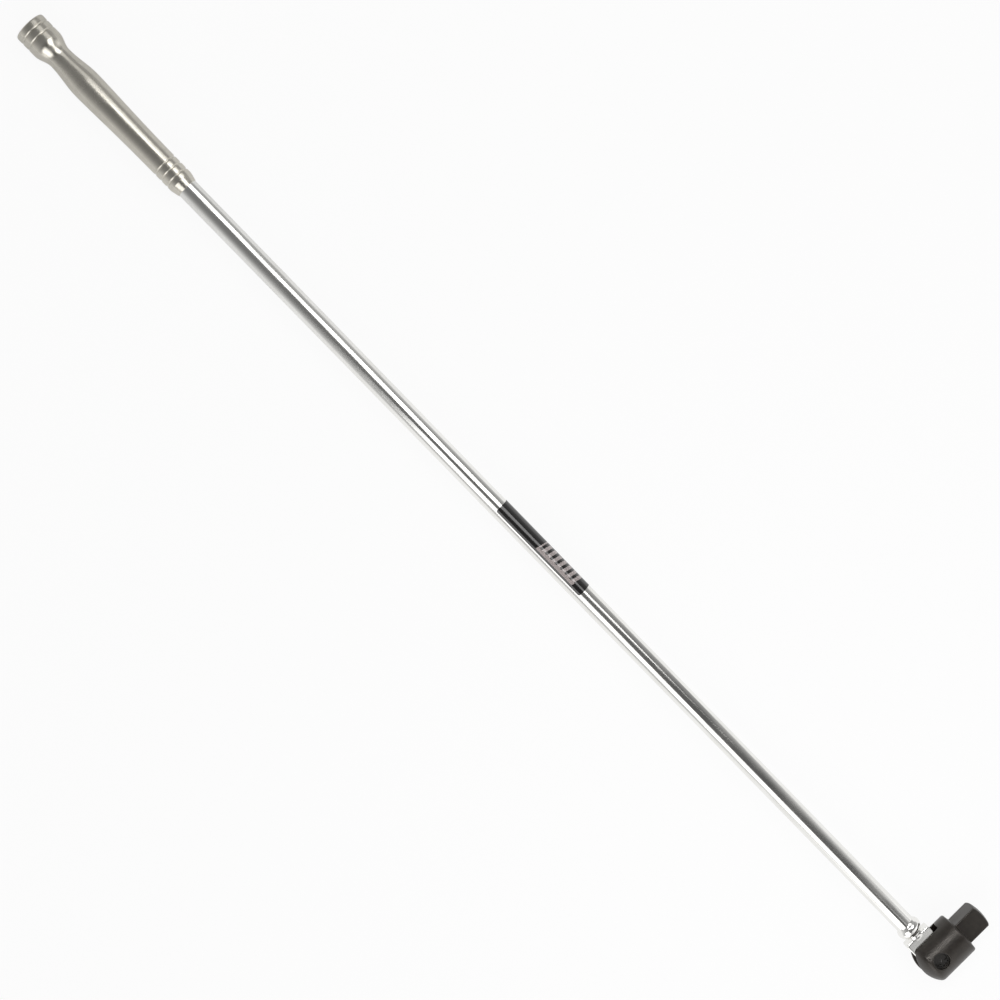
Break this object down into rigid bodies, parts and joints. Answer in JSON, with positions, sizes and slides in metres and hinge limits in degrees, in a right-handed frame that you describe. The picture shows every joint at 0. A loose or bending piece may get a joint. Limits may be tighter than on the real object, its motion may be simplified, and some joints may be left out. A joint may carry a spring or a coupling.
{
  "type": "breaker bar",
  "caption": "Long chromed round bar with a turned grip at one end and, at the other, a black head with a square drive for sockets that swings on a hinge pin.",
  "frame": {"origin": "centre of the square drive in the plane of the head's shoulder, where a socket seats", "axes": "+X along the bar from the grip to the head, +Y along the drive as it points at rest, +Z along the hinge pin, upwards when the tool lies on its side"},
  "size_m": [1, 0.0645, 0.036],
  "materials": {
    "bright_chrome": "polished chrome plate",
    "satin_chrome": "satin chrome plate",
    "label_film": "black film",
    "black_phosphate": "black phosphate on forged steel",
    "dark_steel": "oiled dark steel",
    "spring_steel": "plain spring steel",
    "ball_steel": "polished hard steel"
  },
  "bodies": {
    "handle": {"bar": "bright_chrome", "hinge_tongue": "bright_chrome", "grip_sleeve": "satin_chrome", "grip_end_plug": "satin_chrome", "label_band": "label_film"},
    "head": {"clevis_head": "black_phosphate", "hinge_pin": "dark_steel", "upper_retaining_ring": "dark_steel", "lower_retaining_ring": "dark_steel", "friction_spring": "spring_steel", "drive_ball_spring": "spring_steel"},
    "plunger": {"friction_plunger": "spring_steel"},
    "ball": {"drive_ball": "ball_steel"}
  },
  "joints": [
    {"name": "head_swing", "type": "hinge", "parent": "handle", "child": "head", "pos_m": [0, -0.026, 0], "axis": [0, 0, -1], "range_deg": [0, 180]},
    {"name": "plunger_press", "type": "slide", "parent": "head", "child": "plunger", "axis": [0, 1, 0], "range_m": [0, 0.0015], "stiffness_N_per_m": 4000, "springref_m": -0.005, "deforming": ["friction_spring"]},
    {"name": "ball_press", "type": "slide", "parent": "head", "child": "ball", "axis": [-1, 0, 0], "range_m": [0, 0.0014], "stiffness_N_per_m": 2000, "springref_m": -0.003, "deforming": ["drive_ball_spring"]}
  ]
}
